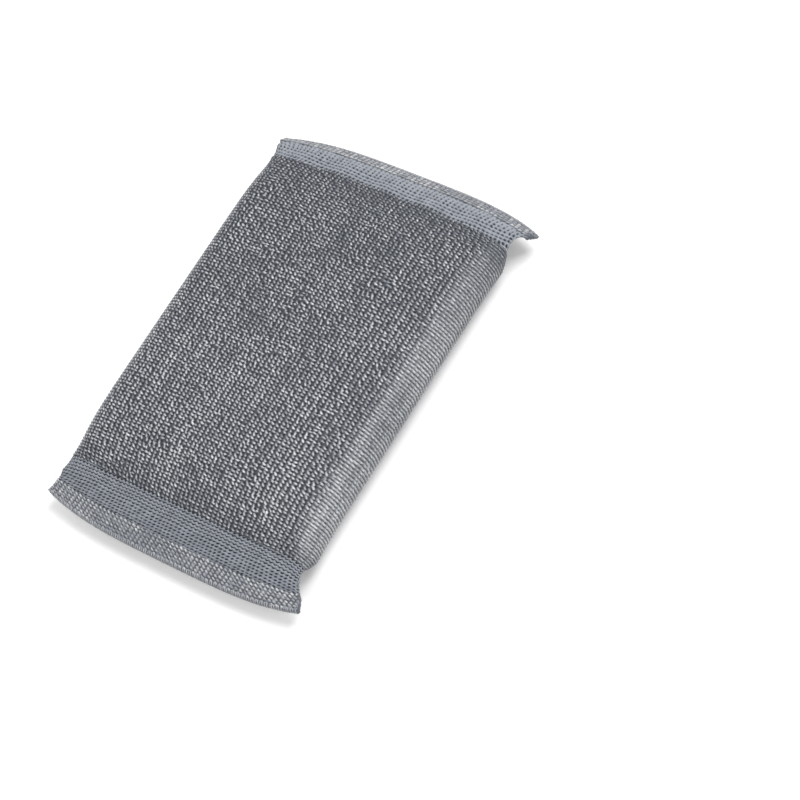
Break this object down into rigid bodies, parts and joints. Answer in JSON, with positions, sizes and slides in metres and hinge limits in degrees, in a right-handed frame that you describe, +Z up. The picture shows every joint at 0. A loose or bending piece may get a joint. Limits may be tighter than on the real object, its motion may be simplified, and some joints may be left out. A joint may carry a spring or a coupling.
{
  "type": "metal-knit scouring pad",
  "caption": "Soft rectangular scouring pad: a foam block in a grey knitted metal-yarn sleeve, with plain bands and flat overlocked seams at both ends.",
  "frame": {"origin": "middle of the underside, on the surface that the pad lies on", "axes": "+X across the pad, +Y along it towards the rear seam, +Z up through its thickness"},
  "size_m": [0.087, 0.13, 0.0215],
  "materials": {
    "metal_knit": "knit of dark grey textured yarn and fine silvery metal strip, with plain blue-grey yarn at both ends",
    "seam_thread": "bulky grey overlock thread",
    "soft_foam": "open-cell polyurethane foam"
  },
  "bodies": {
    "root": {"foam_core": "soft_foam", "knitted_sleeve": "metal_knit", "overlock_seam_front": "seam_thread", "overlock_seam_rear": "seam_thread"}
  },
  "joints": []
}
